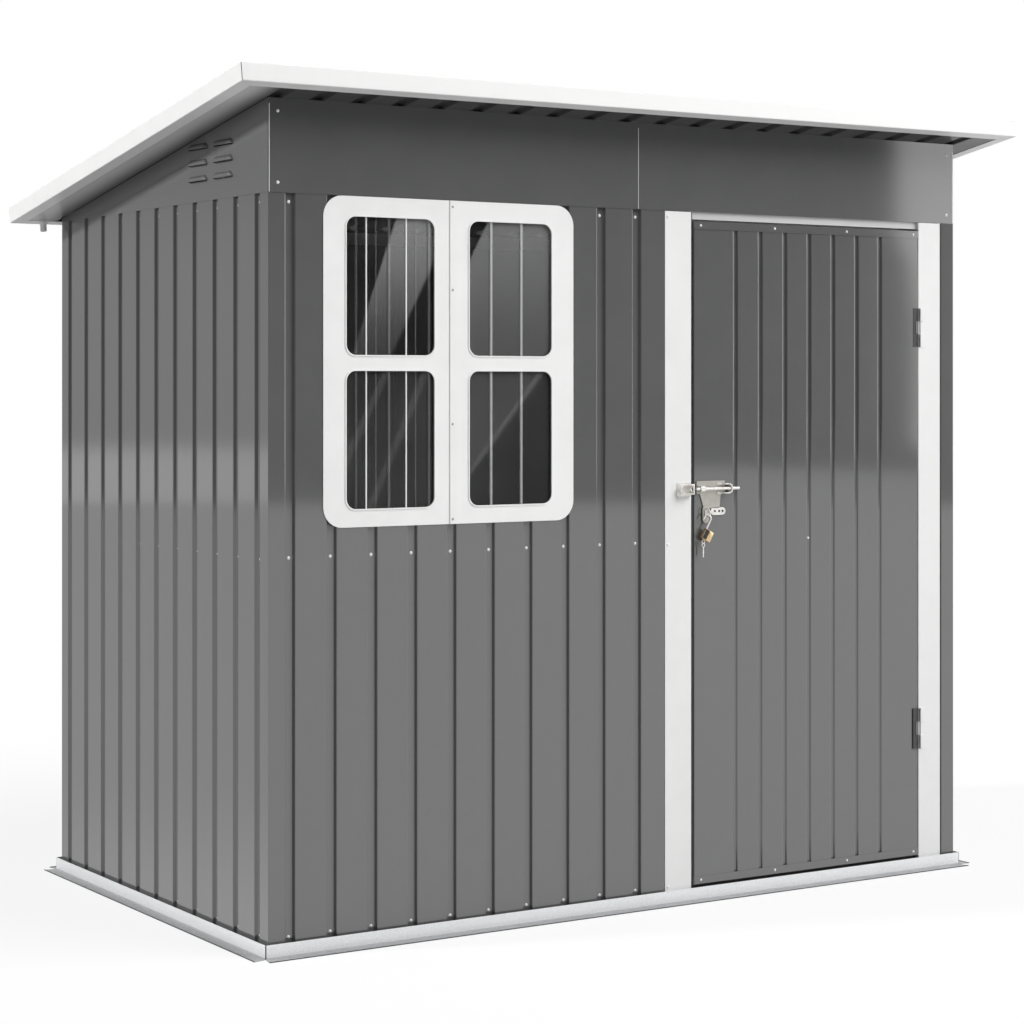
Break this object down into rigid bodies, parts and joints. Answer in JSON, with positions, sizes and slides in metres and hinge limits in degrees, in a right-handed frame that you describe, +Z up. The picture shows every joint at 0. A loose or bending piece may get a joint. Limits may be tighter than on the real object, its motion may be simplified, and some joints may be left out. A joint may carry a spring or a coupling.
{
  "type": "metal storage shed",
  "caption": "Low metal storage shed with ribbed sheet walls, a pent roof in channel trims, a divided window, louvred gables and a hinged door with a slide bolt and padlock.",
  "frame": {"origin": "on the ground at the middle of the roof's outline", "axes": "+X along the front towards the door's side, +Y from the front to the back, +Z up"},
  "size_m": [2.124, 1.294, 1.8455],
  "materials": {
    "grey_sheet": "semi-gloss grey coil coating",
    "white_trim": "satin white coil coating",
    "white_plastic": "satin moulded",
    "galvanised": "zinc spangle",
    "plated_steel": "bright zinc plate",
    "dark_hinge": "grey paint",
    "brass": "machined",
    "clear_sheet": "clear glossy"
  },
  "bodies": {
    "shed": {"base_rail_front": "galvanised", "base_rail_back": "galvanised", "base_rail_left": "galvanised", "base_rail_right": "galvanised", "front_wall_left": "grey_sheet", "front_wall_under_window": "grey_sheet", "front_wall_beside_door": "grey_sheet", "left_wall_front": "grey_sheet", "left_wall_rear": "grey_sheet", "right_wall_front": "grey_sheet", "right_wall_rear": "grey_sheet", "back_wall_left": "grey_sheet", "back_wall_right": "grey_sheet", "corner_posts": "galvanised", "top_rails": "galvanised", "mid_rails": "galvanised", "header_left": "grey_sheet", "header_right": "grey_sheet", "header_rail": "galvanised", "gable_left": "grey_sheet", "gable_right": "grey_sheet", "corner_strip": "grey_sheet", "window_frame_left": "white_plastic", "window_frame_right": "white_plastic", "window_glazing": "clear_sheet", "door_jamb_left": "white_trim", "door_jamb_right": "white_trim", "door_head": "galvanised", "hinge_leaves_jamb": "white_trim", "bolt_keeper": "plated_steel", "roof_sheet_left": "grey_sheet", "roof_sheet_right": "grey_sheet", "roof_beam": "galvanised", "roof_trim_front": "white_trim", "roof_trim_back": "white_trim", "roof_trim_left": "white_trim", "roof_trim_right": "white_trim", "drain_spout": "white_plastic"},
    "door": {"door_panel": "grey_sheet", "door_top_cap": "grey_sheet", "door_bottom_cap": "grey_sheet", "door_mid_rail": "galvanised", "hinge_leaves_door": "dark_hinge", "latch_plate": "plated_steel"},
    "bolt_rod": {"bolt": "plated_steel"},
    "padlock": {"padlock_body": "brass", "padlock_shackle": "plated_steel", "padlock_keys": "plated_steel"}
  },
  "joints": [
    {"name": "door_hinge", "type": "hinge", "parent": "shed", "child": "door", "pos_m": [0.837, -0.546, 0.8], "axis": [0, 0, 1], "range_deg": [0, 170]},
    {"name": "bolt_slide", "type": "slide", "parent": "door", "child": "bolt_rod", "axis": [-1, 0, 0], "range_m": [0, 0.03]},
    {"name": "padlock_swing", "type": "hinge", "parent": "door", "child": "padlock", "pos_m": [0.18, -0.552, 0.887], "axis": [0, 1, 0], "range_deg": [-35, 35]}
  ]
}
